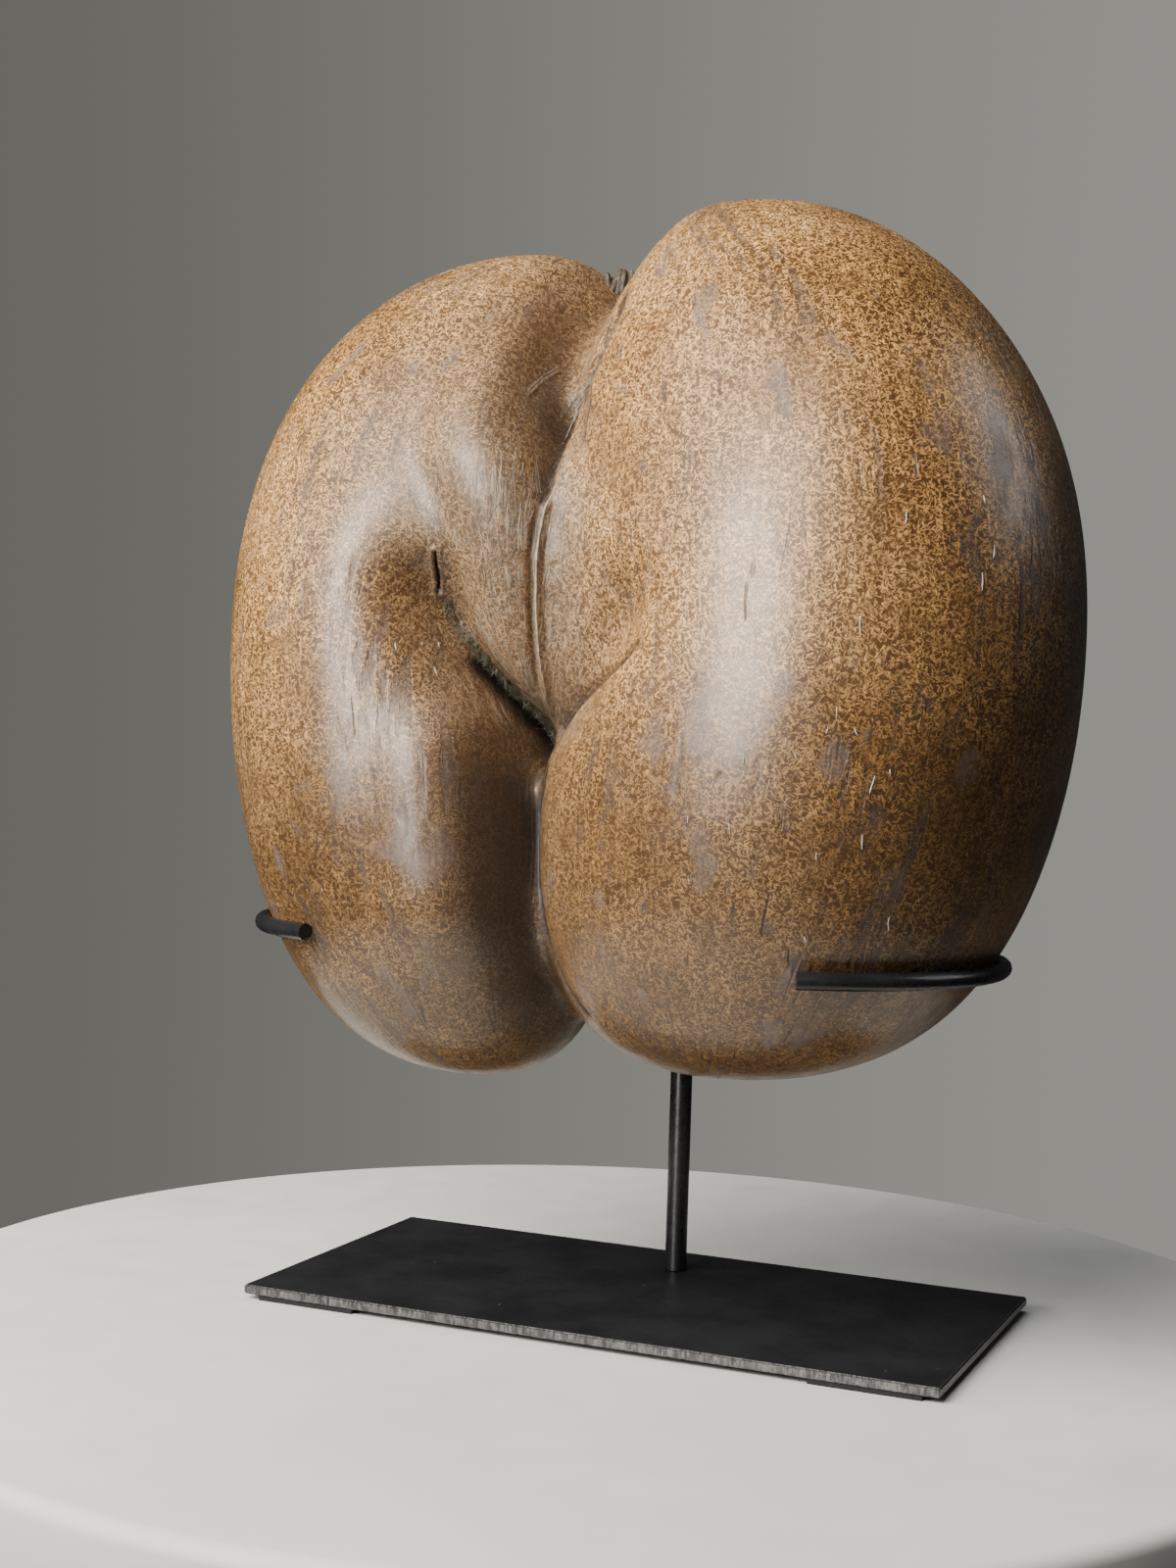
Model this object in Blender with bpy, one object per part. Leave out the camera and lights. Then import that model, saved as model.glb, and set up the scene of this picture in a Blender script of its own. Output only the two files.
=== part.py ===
"""Coco de mer seed on its display stand.

The seed is one natural body: two unequal lobes, a low mound between their upper
halves, and a deep cleft.  The stand is a steel base plate on four thin pads, a
round post and two bent arms that cup the lobes below their widest height.

Units are metres, +Z is up and the front of the seed faces -Y.  Everything is laid
out from the middle of the plate and from the table, and moved at the end so that
the middle of the whole box's underside is the origin.
"""
import math

import bmesh
import bpy
import numpy as np
from mathutils import Vector
from mathutils.bvhtree import BVHTree

# Colours, linear
SHELL_COLOUR = (0.26, 0.15, 0.075)
STEEL_COLOUR = (0.012, 0.012, 0.013)
STEEL_METALLIC = 0.6
FELT_COLOUR = (0.01, 0.01, 0.01)

# Stand, from the table upwards
PAD_LENGTH = 0.037
PAD_WIDTH = 0.018
PAD_THICKNESS = 0.0018
PAD_END_INSET = 0.006
PAD_SIDE_INSET = 0.0006
PLATE_LENGTH = 0.250
PLATE_WIDTH = 0.125
PLATE_THICKNESS = 0.0032
PLATE_BEVEL = 0.0005
PLATE_TOP = PAD_THICKNESS + PLATE_THICKNESS
POST_RADIUS = 0.004
POST_SIDES = 32
POST_CHAMFER = 0.0006
POST_SETBACK = 0.0357
FIT_GAP = 0.0003

# The two arms, each bent round its lobe at one height.  The angles go round a lobe
# from its outside (0 degrees) to the back (plus) and the front (minus).
ARM_RADIUS = 0.0028
ARM_CLEARANCE = 0.0006
ARM_START_ANGLE = 80.0
LEFT_ARM = {"height": 0.1360, "centre_x": -0.055, "tip_angle": -74.0, "side": -1.0}
RIGHT_ARM = {"height": 0.1315, "centre_x": 0.055, "tip_angle": -63.0, "side": 1.0}
ARM_STEPS = 34
ARM_LEAD_STEPS = 8
ARM_SMOOTHING = 2
ARM_SEARCH = 0.20
HALVINGS = 30
POST_TOP = LEFT_ARM["height"] + 0.006

# Seed, measured from the table
MID_DEPTH = -0.040
SECTION_POWER = 2.15
PROFILE_POWER = 2.35
RINGS = 61
RING_POINTS = 72
SKIN_VOXEL = 0.0026
LOBE_SMOOTHING = 6
BODY_SMOOTHING = 14
SETTLE_SMOOTHING = 4
SEED_TRIANGLES = 9600
# The skin is pressed in full where this much of its normal faces the stroke.
FULL_PRESS_FACING = 0.5

# Each lobe from its lower tip to its upper tip, at seven equal steps of latitude:
# the centre of the horizontal section, its half width and half depth, before they
# taper to the tips.
LEFT_LOBE = {
    "bottom": 0.0842,
    "top": 0.3635,
    "centre_x": (-0.043, -0.051, -0.0615, -0.066, -0.0585, -0.0405, -0.021),
    "half_width": (0.077, 0.072, 0.065, 0.0645, 0.0680, 0.069, 0.064),
    "half_depth": (0.080, 0.082, 0.083, 0.084, 0.083, 0.081, 0.079),
}
RIGHT_LOBE = {
    "bottom": 0.0908,
    "top": 0.3765,
    "centre_x": (0.041, 0.051, 0.0605, 0.0715, 0.0665, 0.0560, 0.038),
    "half_width": (0.102, 0.099, 0.0915, 0.0840, 0.084, 0.078, 0.084),
    "half_depth": (0.083, 0.085, 0.084, 0.084, 0.083, 0.082, 0.081),
}

# Dents in the skin, as paths of (x, z) seen from the front: how deep each goes (a
# minus depth stands out), how wide it is at its first and last point, and how much
# of the depth its first and last point have.
BASIN_STROKES = {
    "left_basin": {
        "path": ((-0.035, 0.259), (-0.032, 0.247), (-0.026, 0.234), (-0.018, 0.221), (-0.010, 0.209)),
        "depth": 0.022, "width": (0.0075, 0.0065), "ends": (0.0, 1.0)},
    "left_groin": {
        "path": ((-0.047, 0.272), (-0.043, 0.252), (-0.037, 0.238), (-0.029, 0.228)),
        "depth": 0.005, "width": (0.009, 0.008), "ends": (0.0, 0.6)},
    "right_basin": {
        "path": ((0.036, 0.258), (0.034, 0.248), (0.029, 0.238), (0.022, 0.227), (0.014, 0.216),
                 (0.002, 0.207)),
        "depth": 0.014, "width": (0.0090, 0.0055), "ends": (0.0, 1.0)},
}
FRONT_STROKES = {
    "hollow": {
        "path": ((-0.025, 0.225), (-0.0135, 0.208), (-0.011, 0.198)),
        "depth": 0.018, "width": (0.003, 0.004), "ends": (0.2, 1.0)},
    "lower_cleft": {
        "path": ((-0.010, 0.203), (-0.009, 0.110)),
        "depth": 0.010, "width": (0.004, 0.004), "ends": (1.0, 1.0)},
    "top_cleft": {
        "path": ((-0.007, 0.365), (-0.007, 0.290)),
        "depth": 0.009, "width": (0.0045, 0.004), "ends": (1.0, 0.0)},
}
BACK_STROKES = {
    "back_cleft": {
        "path": ((-0.008, 0.360), (-0.008, 0.110)),
        "depth": 0.007, "width": (0.005, 0.005), "ends": (0.6, 1.0)},
}

# The low mound between the upper halves of the lobes is two swellings side by side
# that meet in a point below: height, centre x, centre y and radius, upwards.
LEFT_SWELLING = (
    (0.203, -0.008, -0.080, 0.000),
    (0.214, -0.0095, -0.082, 0.010),
    (0.240, -0.0125, -0.085, 0.0195),
    (0.268, -0.0175, -0.090, 0.0245),
    (0.296, -0.026, -0.091, 0.025),
    (0.326, -0.034, -0.071, 0.022),
    (0.350, -0.036, -0.050, 0.000),
)
RIGHT_SWELLING = (
    (0.203, -0.006, -0.080, 0.000),
    (0.214, -0.001, -0.080, 0.010),
    (0.240, 0.010, -0.080, 0.019),
    (0.272, 0.019, -0.080, 0.027),
    (0.300, 0.027, -0.070, 0.024),
    (0.328, 0.034, -0.052, 0.000),
)
# The left lobe is fuller on its inner side than its sections are: above the mound
# and below the hollow.
LEFT_SHOULDER = (
    (0.254, -0.024, -0.084, 0.000),
    (0.278, -0.027, -0.086, 0.020),
    (0.300, -0.030, -0.085, 0.026),
    (0.322, -0.030, -0.074, 0.027),
    (0.345, -0.028, -0.055, 0.021),
    (0.362, -0.024, -0.042, 0.000),
)
LEFT_THIGH = (
    (0.100, -0.036, -0.060, 0.000),
    (0.130, -0.038, -0.078, 0.029),
    (0.165, -0.040, -0.086, 0.032),
    (0.195, -0.041, -0.089, 0.032),
    (0.216, -0.045, -0.087, 0.027),
    (0.236, -0.050, -0.082, 0.000),
)
SCAR_PLACE = (-0.003, -0.030, 0.349)
SCAR_RADII = (0.008, 0.010, 0.008)


def clear_scene():
    for item in list(bpy.data.objects):
        bpy.data.objects.remove(item, do_unlink=True)


def new_object(name, mesh):
    item = bpy.data.objects.new(name, mesh)
    bpy.context.scene.collection.objects.link(item)
    return item


def finish(name, colour, roughness, metallic):
    material = bpy.data.materials.new(name)
    material.use_nodes = True
    shader = material.node_tree.nodes["Principled BSDF"]
    shader.inputs["Base Color"].default_value = (*colour, 1.0)
    shader.inputs["Roughness"].default_value = roughness
    shader.inputs["Metallic"].default_value = metallic
    return material


def smooth_through(values, steps):
    """A natural cubic through evenly spaced values, read at fractions 0 to 1."""
    count = len(values)
    system = np.eye(count)
    target = np.zeros(count)
    for row in range(1, count - 1):
        system[row, row - 1:row + 2] = (1.0, 4.0, 1.0)
        target[row] = 6.0 * (values[row - 1] - 2.0 * values[row] + values[row + 1])
    curvature = np.linalg.solve(system, target)
    place = np.clip(np.asarray(steps), 0.0, 1.0) * (count - 1)
    low = np.minimum(place.astype(int), count - 2)
    after = place - low
    before = 1.0 - after
    value = np.asarray(values)
    bend_low = curvature[low] * (before ** 3 - before) / 6.0
    bend_high = curvature[low + 1] * (after ** 3 - after) / 6.0
    return before * value[low] + after * value[low + 1] + bend_low + bend_high


def squared_circle(angle, power):
    """The two coordinates of a point on a slightly squared unit circle."""
    across = math.cos(angle)
    along = math.sin(angle)
    reach = (abs(across) ** power + abs(along) ** power) ** (-1.0 / power)
    return reach * across, reach * along


def lobe_mesh(shape):
    """A closed body lofted through horizontal sections from tip to tip."""
    mesh = bmesh.new()
    fractions = np.linspace(0.0, 1.0, RINGS)
    centre_x = smooth_through(shape["centre_x"], fractions)
    half_width = smooth_through(shape["half_width"], fractions)
    half_depth = smooth_through(shape["half_depth"], fractions)
    middle = (shape["bottom"] + shape["top"]) / 2.0
    half_height = (shape["top"] - shape["bottom"]) / 2.0
    rings = []
    for row in range(1, RINGS - 1):
        latitude = (fractions[row] - 0.5) * math.pi
        taper, rise = squared_circle(latitude, PROFILE_POWER)
        ring = []
        for step in range(RING_POINTS):
            across, along = squared_circle(2.0 * math.pi * step / RING_POINTS, SECTION_POWER)
            x = centre_x[row] + half_width[row] * taper * across
            y = MID_DEPTH + half_depth[row] * taper * along
            ring.append(mesh.verts.new((x, y, middle + half_height * rise)))
        rings.append(ring)
    low_tip = mesh.verts.new((centre_x[0], MID_DEPTH, shape["bottom"]))
    high_tip = mesh.verts.new((centre_x[-1], MID_DEPTH, shape["top"]))
    close_rings(mesh, rings, low_tip, high_tip)
    return mesh


def close_rings(mesh, rings, low_tip, high_tip):
    """Faces between rings of equal length, closed by a fan at each tip."""
    count = len(rings[0])
    for lower, upper in zip(rings, rings[1:]):
        for step in range(count):
            after = (step + 1) % count
            mesh.faces.new((lower[step], lower[after], upper[after], upper[step]))
    for step in range(count):
        after = (step + 1) % count
        mesh.faces.new((low_tip, rings[0][after], rings[0][step]))
        mesh.faces.new((high_tip, rings[-1][step], rings[-1][after]))


def swelling_mesh(rows):
    """A round body of changing radius, lofted from its lower tip to its upper tip."""
    mesh = bmesh.new()
    steps = 0.5 - 0.5 * np.cos(np.linspace(0.0, math.pi, RINGS))
    heights, centre_x, centre_y, radii = (smooth_through(column, steps) for column in zip(*rows))
    rings = []
    for row in range(1, RINGS - 1):
        ring = []
        for step in range(RING_POINTS):
            across, along = squared_circle(2.0 * math.pi * step / RING_POINTS, 2.0)
            x = centre_x[row] + radii[row] * across
            y = centre_y[row] + radii[row] * along
            ring.append(mesh.verts.new((x, y, heights[row])))
        rings.append(ring)
    low_tip = mesh.verts.new((centre_x[0], centre_y[0], heights[0]))
    high_tip = mesh.verts.new((centre_x[-1], centre_y[-1], heights[-1]))
    close_rings(mesh, rings, low_tip, high_tip)
    return mesh


def scar_mesh():
    """The stub of the stem in the notch between the lobes."""
    mesh = bmesh.new()
    bmesh.ops.create_icosphere(mesh, subdivisions=3, radius=1.0)
    bmesh.ops.scale(mesh, vec=SCAR_RADII, verts=mesh.verts)
    bmesh.ops.translate(mesh, vec=SCAR_PLACE, verts=mesh.verts)
    return mesh


def apply_modifiers(item):
    depsgraph = bpy.context.evaluated_depsgraph_get()
    evaluated = item.evaluated_get(depsgraph)
    shaped = bpy.data.meshes.new_from_object(evaluated)
    item.modifiers.clear()
    item.data = shaped


def keep_largest_body(item):
    """Removes the small closed pockets that a remesh leaves inside a body."""
    mesh = bmesh.new()
    mesh.from_mesh(item.data)
    bodies = []
    for first in mesh.verts:
        if first.tag:
            continue
        first.tag = True
        body = [first]
        for point in body:
            for edge in point.link_edges:
                other = edge.other_vert(point)
                if not other.tag:
                    other.tag = True
                    body.append(other)
        bodies.append(body)
    bodies.sort(key=len)
    for body in bodies[:-1]:
        bmesh.ops.delete(mesh, geom=body, context="VERTS")
    mesh.to_mesh(item.data)
    mesh.free()


def path_distance(points, path):
    """The distance of each point to a path, and how far along the path it is."""
    best = np.full(len(points), np.inf)
    along = np.zeros(len(points))
    steps = len(path) - 1
    for step in range(steps):
        start = np.array(path[step])
        run = np.array(path[step + 1]) - start
        share = np.clip((points - start) @ run / (run @ run), 0.0, 1.0)
        gap = np.linalg.norm(points - start - share[:, None] * run, axis=1)
        closer = gap < best
        best[closer] = gap[closer]
        along[closer] = (step + share[closer]) / steps
    return best, along


def press_strokes(item, strokes, side):
    """Moves the skin that faces one side, -1 for the front and +1 for the back."""
    mesh = item.data
    count = len(mesh.vertices)
    places = np.empty(count * 3)
    normals = np.empty(count * 3)
    mesh.vertices.foreach_get("co", places)
    mesh.vertex_normals.foreach_get("vector", normals)
    places = places.reshape(count, 3)
    facing = normals.reshape(count, 3)[:, 1] * side
    turned = np.clip(facing / FULL_PRESS_FACING, 0.0, 1.0)
    turned[(places[:, 1] - MID_DEPTH) * side < 0.0] = 0.0
    move = np.zeros(count)
    for stroke in strokes.values():
        gap, along = path_distance(places[:, (0, 2)], stroke["path"])
        width = np.interp(along, (0.0, 1.0), stroke["width"])
        ends = stroke["ends"]
        strength = np.interp(along, (0.0, 0.4, 0.6, 1.0), (ends[0], 1.0, 1.0, ends[1]))
        move += stroke["depth"] * strength * np.exp(-0.5 * (gap / width) ** 2)
    places[:, 1] -= side * move * turned
    mesh.vertices.foreach_set("co", places.ravel())
    mesh.update()


def add_bodies(item, bodies):
    """Adds closed bodies to an object's mesh."""
    whole = bmesh.new()
    whole.from_mesh(item.data)
    for body in bodies:
        piece = bpy.data.meshes.new("piece")
        body.to_mesh(piece)
        body.free()
        whole.from_mesh(piece)
        bpy.data.meshes.remove(piece)
    whole.to_mesh(item.data)
    whole.free()


def grow_skin(item, smoothing):
    """One even skin around everything in the object, softened a little."""
    skin = item.modifiers.new("skin", "REMESH")
    skin.mode = "VOXEL"
    skin.voxel_size = SKIN_VOXEL
    apply_modifiers(item)
    keep_largest_body(item)
    soften = item.modifiers.new("soften", "SMOOTH")
    soften.factor = 0.5
    soften.iterations = smoothing
    apply_modifiers(item)


def build_seed():
    seed = new_object("seed", bpy.data.meshes.new("seed_blank"))
    add_bodies(seed, [lobe_mesh(LEFT_LOBE), lobe_mesh(RIGHT_LOBE)])
    add_bodies(seed, [swelling_mesh(LEFT_SHOULDER), swelling_mesh(LEFT_THIGH)])
    grow_skin(seed, LOBE_SMOOTHING)
    press_strokes(seed, BASIN_STROKES, -1.0)
    add_bodies(seed, [swelling_mesh(LEFT_SWELLING), swelling_mesh(RIGHT_SWELLING), scar_mesh()])
    grow_skin(seed, BODY_SMOOTHING)
    press_strokes(seed, FRONT_STROKES, -1.0)
    press_strokes(seed, BACK_STROKES, 1.0)
    soften = seed.modifiers.new("settle", "SMOOTH")
    soften.factor = 0.5
    soften.iterations = SETTLE_SMOOTHING
    thin = seed.modifiers.new("thin", "DECIMATE")
    triangles = sum(len(face.vertices) - 2 for face in seed.data.polygons)
    thin.ratio = SEED_TRIANGLES / triangles
    apply_modifiers(seed)
    seed.data.shade_smooth()
    seed.data.materials.clear()
    seed.data.materials.append(finish("polished_shell", SHELL_COLOUR, 0.42, 0.0))
    return seed


def build_plate():
    mesh = bmesh.new()
    bmesh.ops.create_cube(mesh, size=1.0)
    bmesh.ops.scale(mesh, vec=(PLATE_LENGTH, PLATE_WIDTH, PLATE_THICKNESS), verts=mesh.verts)
    bmesh.ops.bevel(mesh, geom=mesh.edges, offset=PLATE_BEVEL, segments=2, affect="EDGES")
    bmesh.ops.translate(mesh, vec=(0.0, 0.0, PLATE_TOP - PLATE_THICKNESS / 2.0), verts=mesh.verts)
    data = bpy.data.meshes.new("base_plate")
    mesh.to_mesh(data)
    mesh.free()
    data.materials.append(finish("black_steel_plate", STEEL_COLOUR, 0.38, STEEL_METALLIC))
    return new_object("base_plate", data)


def build_pads():
    felt = finish("black_felt", FELT_COLOUR, 0.95, 0.0)
    reach_x = PLATE_LENGTH / 2.0 - PAD_END_INSET - PAD_LENGTH / 2.0
    reach_y = PLATE_WIDTH / 2.0 - PAD_SIDE_INSET - PAD_WIDTH / 2.0
    corners = {"pad_front_left": (-1, -1), "pad_front_right": (1, -1),
               "pad_back_left": (-1, 1), "pad_back_right": (1, 1)}
    for name, (side, end) in corners.items():
        mesh = bmesh.new()
        bmesh.ops.create_cube(mesh, size=1.0)
        bmesh.ops.scale(mesh, vec=(PAD_LENGTH, PAD_WIDTH, PAD_THICKNESS - FIT_GAP), verts=mesh.verts)
        height = (PAD_THICKNESS - FIT_GAP) / 2.0
        bmesh.ops.translate(mesh, vec=(side * reach_x, end * reach_y, height), verts=mesh.verts)
        data = bpy.data.meshes.new(name)
        mesh.to_mesh(data)
        mesh.free()
        data.materials.append(felt)
        new_object(name, data)


def build_post():
    mesh = bmesh.new()
    low = PLATE_TOP + FIT_GAP
    bmesh.ops.create_cone(
        mesh, cap_ends=True, segments=POST_SIDES, radius1=POST_RADIUS, radius2=POST_RADIUS,
        depth=POST_TOP - low)
    rim = [edge for edge in mesh.edges if min(point.co.z for point in edge.verts) > 0.0]
    bmesh.ops.bevel(mesh, geom=rim, offset=POST_CHAMFER, segments=2, affect="EDGES")
    bmesh.ops.translate(mesh, vec=(0.0, POST_SETBACK, (POST_TOP + low) / 2.0), verts=mesh.verts)
    data = bpy.data.meshes.new("post")
    mesh.to_mesh(data)
    mesh.free()
    data.shade_smooth()
    data.materials.append(finish("black_steel_post", STEEL_COLOUR, 0.35, STEEL_METALLIC))
    return new_object("post", data)


def distance_outside(tree, place):
    """How far a point is outside the skin; negative inside."""
    nearest, normal, _, distance = tree.find_nearest(place)
    return distance if (place - nearest).dot(normal) > 0.0 else -distance


def hugging_point(tree, centre, angle, clearance):
    """The point in a level direction from the centre that clears the skin by clearance."""
    direction = Vector((math.cos(angle), math.sin(angle), 0.0))
    near = 0.0
    far = ARM_SEARCH
    for _ in range(HALVINGS):
        middle = (near + far) / 2.0
        if distance_outside(tree, centre + direction * middle) < clearance:
            near = middle
        else:
            far = middle
    return centre + direction * far


def arm_route(tree, arm):
    """Points from the post round the outside of one lobe to its front."""
    side = arm["side"]
    centre = Vector((arm["centre_x"], MID_DEPTH, arm["height"]))
    first = Vector((side * (POST_RADIUS + FIT_GAP), POST_SETBACK, arm["height"]))
    hugging = []
    for angle in np.linspace(ARM_START_ANGLE, arm["tip_angle"], ARM_STEPS):
        turn = math.radians(angle)
        if side < 0:
            turn = math.pi - turn
        hugging.append(hugging_point(tree, centre, turn, ARM_RADIUS + ARM_CLEARANCE))
    lead = [first.lerp(hugging[0], step / ARM_LEAD_STEPS) for step in range(ARM_LEAD_STEPS)]
    route = lead + hugging
    for _ in range(ARM_SMOOTHING):
        inner = []
        for before, place, after in zip(route, route[1:], route[2:]):
            inner.append((before + 2.0 * place + after) / 4.0)
        route = [route[0], *inner, route[-1]]
    return route


def build_arm(name, tree, arm):
    route = arm_route(tree, arm)
    curve = bpy.data.curves.new(name, "CURVE")
    curve.dimensions = "3D"
    curve.bevel_depth = ARM_RADIUS
    curve.bevel_resolution = 4
    curve.use_fill_caps = True
    spline = curve.splines.new("POLY")
    spline.points.add(len(route) - 1)
    for point, place in zip(spline.points, route):
        point.co = (*place, 1.0)
    curve.materials.append(finish(name, STEEL_COLOUR, 0.35, STEEL_METALLIC))
    return new_object(name, curve)


def stand_on_origin():
    """Moves everything so that the middle of the whole box's underside is the origin."""
    bpy.context.view_layer.update()
    depsgraph = bpy.context.evaluated_depsgraph_get()
    corners = []
    for item in bpy.data.objects:
        solid = item.evaluated_get(depsgraph)
        mesh = solid.to_mesh()
        corners.extend(item.matrix_world @ point.co for point in mesh.vertices)
        solid.to_mesh_clear()
    low = [min(corner[axis] for corner in corners) for axis in range(3)]
    high = [max(corner[axis] for corner in corners) for axis in range(3)]
    middle = Vector(((low[0] + high[0]) / 2.0, (low[1] + high[1]) / 2.0, low[2]))
    for item in bpy.data.objects:
        item.location -= middle


clear_scene()
seed = build_seed()
seed_mesh = bmesh.new()
seed_mesh.from_mesh(seed.data)
seed_tree = BVHTree.FromBMesh(seed_mesh)
seed_mesh.free()
build_plate()
build_pads()
build_post()
build_arm("arm_left", seed_tree, LEFT_ARM)
build_arm("arm_right", seed_tree, RIGHT_ARM)
stand_on_origin()
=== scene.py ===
import math
import random

import bpy
import numpy as np
from mathutils import Matrix, Vector
from mathutils.bvhtree import BVHTree


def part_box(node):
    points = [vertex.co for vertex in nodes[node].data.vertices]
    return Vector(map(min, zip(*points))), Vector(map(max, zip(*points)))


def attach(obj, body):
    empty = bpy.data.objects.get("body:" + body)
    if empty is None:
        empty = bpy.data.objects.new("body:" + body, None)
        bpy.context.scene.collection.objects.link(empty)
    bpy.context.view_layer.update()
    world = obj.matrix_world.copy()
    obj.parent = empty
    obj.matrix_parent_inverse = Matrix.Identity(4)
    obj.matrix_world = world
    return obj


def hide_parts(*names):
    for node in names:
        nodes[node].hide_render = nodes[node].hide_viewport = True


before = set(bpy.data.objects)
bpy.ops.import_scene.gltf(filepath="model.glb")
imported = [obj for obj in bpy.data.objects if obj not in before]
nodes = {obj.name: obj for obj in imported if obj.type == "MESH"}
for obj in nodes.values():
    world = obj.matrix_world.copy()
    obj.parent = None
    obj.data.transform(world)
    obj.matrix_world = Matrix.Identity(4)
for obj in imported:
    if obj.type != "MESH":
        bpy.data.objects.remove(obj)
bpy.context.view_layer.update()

# A coco de mer seed on a black display stand, on a round pale table top.
plateLow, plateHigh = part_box("base_plate")
plateMiddle = Vector(((plateLow.x + plateHigh.x) / 2, (plateLow.y + plateHigh.y) / 2, 0))


def place(x, y, z):
    # centimetres from the middle of the plate, heights from the table
    return Vector((x, y, z)) / 100 + plateMiddle


def deselectAll():
    if bpy.context.object and bpy.context.object.mode != "OBJECT":
        bpy.ops.object.mode_set(mode="OBJECT")
    bpy.ops.object.select_all(action="DESELECT")


def makeActive(piece):
    deselectAll()
    piece.select_set(True)
    bpy.context.view_layer.objects.active = piece


def applyModifiers(piece):
    makeActive(piece)
    for modifier in list(piece.modifiers):
        bpy.ops.object.modifier_apply(modifier=modifier.name)


def freeze(piece):
    # the place goes into the mesh, the object back to the origin
    makeActive(piece)
    bpy.ops.object.transform_apply(location=True, rotation=True, scale=True)


def copyNode(node, name):
    # a merged copy of one of the solids, to work on
    piece = nodes[node].copy()
    piece.data = nodes[node].data.copy()
    piece.parent = None
    for key in list(piece.keys()):
        del piece[key]
    bpy.context.scene.collection.objects.link(piece)
    piece.name = name
    piece.data.name = name
    piece.data.materials.clear()
    makeActive(piece)
    bpy.ops.mesh.customdata_custom_splitnormals_clear()
    bpy.ops.object.mode_set(mode="EDIT")
    bpy.ops.mesh.select_all(action="SELECT")
    bpy.ops.mesh.remove_doubles(threshold=0.00001)
    bpy.ops.object.mode_set(mode="OBJECT")
    return piece


def pointArray(mesh):
    points = np.empty(len(mesh.vertices) * 3)
    mesh.vertices.foreach_get("co", points)
    return points.reshape(-1, 3)


def normalArray(mesh):
    normals = np.empty(len(mesh.vertices) * 3)
    mesh.vertex_normals.foreach_get("vector", normals)
    return normals.reshape(-1, 3)


def writePoints(mesh, points):
    mesh.vertices.foreach_set("co", points.ravel())
    mesh.update()


def writeAttribute(mesh, name, values):
    kind = "FLOAT" if values.ndim == 1 else "FLOAT_VECTOR"
    attribute = mesh.attributes.new(name, kind, "POINT")
    attribute.data.foreach_set("value" if values.ndim == 1 else "vector", values.astype(np.float32).ravel())


def pathGap(points, path):
    # distance of each point to a path in space, how far along it the nearest place is,
    # and the side it lies on, +1 to the right of a path that runs down
    best = np.full(len(points), np.inf)
    along = np.zeros(len(points))
    side = np.ones(len(points))
    for step in range(len(path) - 1):
        start = np.array(path[step])
        run = np.array(path[step + 1]) - start
        share = np.clip((points - start) @ run / (run @ run), 0, 1)
        offset = points - start - share[:, None] * run
        gap = np.linalg.norm(offset, axis=1)
        closer = gap < best
        best[closer] = gap[closer]
        along[closer] = (step + share[closer]) / (len(path) - 1)
        side[closer] = np.sign(run[0] * offset[closer, 2] - run[2] * offset[closer, 0])
    return best, along, side


def newMaterial(name):
    material = bpy.data.materials.new(name)
    material.use_nodes = True
    return material, material.node_tree, material.node_tree.nodes["Principled BSDF"]


def feed(tree, value, socket):
    if hasattr(value, "links"):
        tree.links.new(value, socket)
    elif hasattr(value, "__len__") and len(value) == 3 and socket.type == "RGBA":
        socket.default_value = (*value, 1)
    else:
        socket.default_value = value


def objectPlace(tree):
    return tree.nodes.new("ShaderNodeTexCoord").outputs["Object"]


def attributeOf(tree, name, output="Fac"):
    node = tree.nodes.new("ShaderNodeAttribute")
    node.attribute_name = name
    return node.outputs[output]


def stretched(tree, vector, scale, location=(0, 0, 0)):
    node = tree.nodes.new("ShaderNodeMapping")
    node.inputs["Scale"].default_value = scale
    node.inputs["Location"].default_value = location
    tree.links.new(vector, node.inputs["Vector"])
    return node.outputs["Vector"]


def noiseOf(tree, vector, scale, detail=2, roughness=0.5, distortion=0.0):
    node = tree.nodes.new("ShaderNodeTexNoise")
    tree.links.new(vector, node.inputs["Vector"])
    node.inputs["Scale"].default_value = scale
    node.inputs["Detail"].default_value = detail
    node.inputs["Roughness"].default_value = roughness
    node.inputs["Distortion"].default_value = distortion
    return node.outputs["Fac"]


def between(tree, value, low, high, first=0.0, last=1.0):
    node = tree.nodes.new("ShaderNodeMapRange")
    node.interpolation_type = "SMOOTHSTEP"
    feed(tree, value, node.inputs["Value"])
    node.inputs["From Min"].default_value = low
    node.inputs["From Max"].default_value = high
    node.inputs["To Min"].default_value = first
    node.inputs["To Max"].default_value = last
    return node.outputs["Result"]


def sums(tree, operation, first, second=0.0):
    node = tree.nodes.new("ShaderNodeMath")
    node.operation = operation
    feed(tree, first, node.inputs[0])
    feed(tree, second, node.inputs[1])
    return node.outputs["Value"]


def blended(tree, factor, first, second, way="MIX"):
    node = tree.nodes.new("ShaderNodeMix")
    node.data_type = "RGBA"
    node.blend_type = way
    feed(tree, factor, node.inputs[0])
    feed(tree, first, node.inputs[6])
    feed(tree, second, node.inputs[7])
    return node.outputs[2]


def bumpOf(tree, height, distance, strength=1.0, under=None):
    node = tree.nodes.new("ShaderNodeBump")
    node.inputs["Strength"].default_value = strength
    node.inputs["Distance"].default_value = distance
    tree.links.new(height, node.inputs["Height"])
    if under is not None:
        tree.links.new(under, node.inputs["Normal"])
    return node.outputs["Normal"]


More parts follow.
